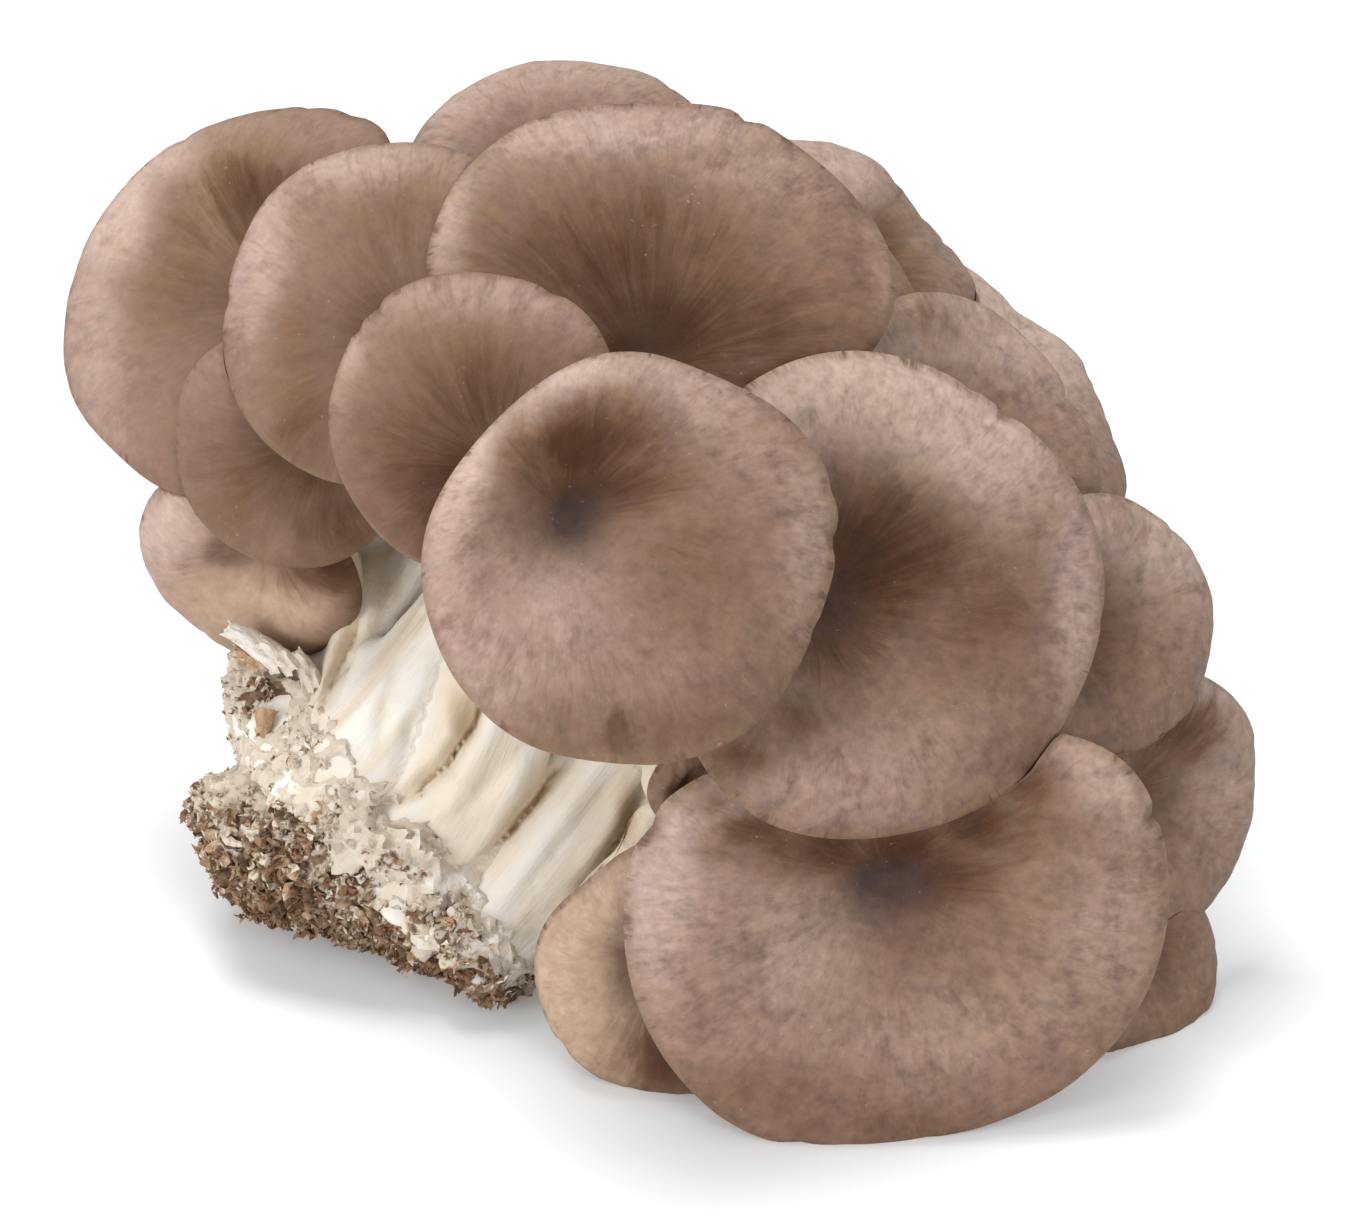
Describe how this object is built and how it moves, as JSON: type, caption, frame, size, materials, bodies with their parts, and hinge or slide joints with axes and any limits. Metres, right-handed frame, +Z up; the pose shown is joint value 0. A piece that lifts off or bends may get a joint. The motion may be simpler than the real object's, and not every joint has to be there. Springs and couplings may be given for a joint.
{
  "type": "oyster mushroom cluster",
  "caption": "Clump of oyster mushrooms with overlapping brown caps, pale gills and stems grown together at a sawdust crust, lying on a surface.",
  "frame": {"origin": "on the surface that the cluster lies on, under the middle of its bounding box", "axes": "+Z up from the surface, +X along the cluster's long way from its far left cap to its right caps, -Y toward the front caps"},
  "size_m": [0.2066, 0.1503, 0.1486],
  "materials": {
    "cap": "satin, grey-brown with fine radial streaks",
    "gills": "matte cream",
    "stem": "satin cream white, fibrous",
    "crust": "matte brown sawdust with white mycelium"
  },
  "bodies": {
    "root": {"cap_front": "cap", "gills_front": "gills", "cap_front_left": "cap", "gills_front_left": "gills", "cap_front_right": "cap", "gills_front_right": "gills", "cap_front_low": "cap", "gills_front_low": "gills", "cap_top_front": "cap", "gills_top_front": "gills", "cap_upper_left": "cap", "gills_upper_left": "gills", "cap_left": "cap", "gills_left": "gills", "cap_far_left": "cap", "gills_far_left": "gills", "cap_left_low": "cap", "gills_left_low": "gills", "cap_top_under": "cap", "gills_top_under": "gills", "cap_right": "cap", "gills_right": "gills", "cap_upper_right": "cap", "gills_upper_right": "gills", "cap_low_left": "cap", "gills_low_left": "gills", "cap_top_back": "cap", "gills_top_back": "gills", "cap_top_right": "cap", "gills_top_right": "gills", "cap_right_back": "cap", "gills_right_back": "gills", "cap_right_low": "cap", "gills_right_low": "gills", "cap_foot_right": "cap", "gills_foot_right": "gills", "cap_small_front": "cap", "gills_small_front": "gills", "cap_back_low": "cap", "gills_back_low": "gills", "cap_back_middle": "cap", "gills_back_middle": "gills", "cap_back_left": "cap", "gills_back_left": "gills", "stems": "stem", "crust": "crust"}
  },
  "joints": []
}
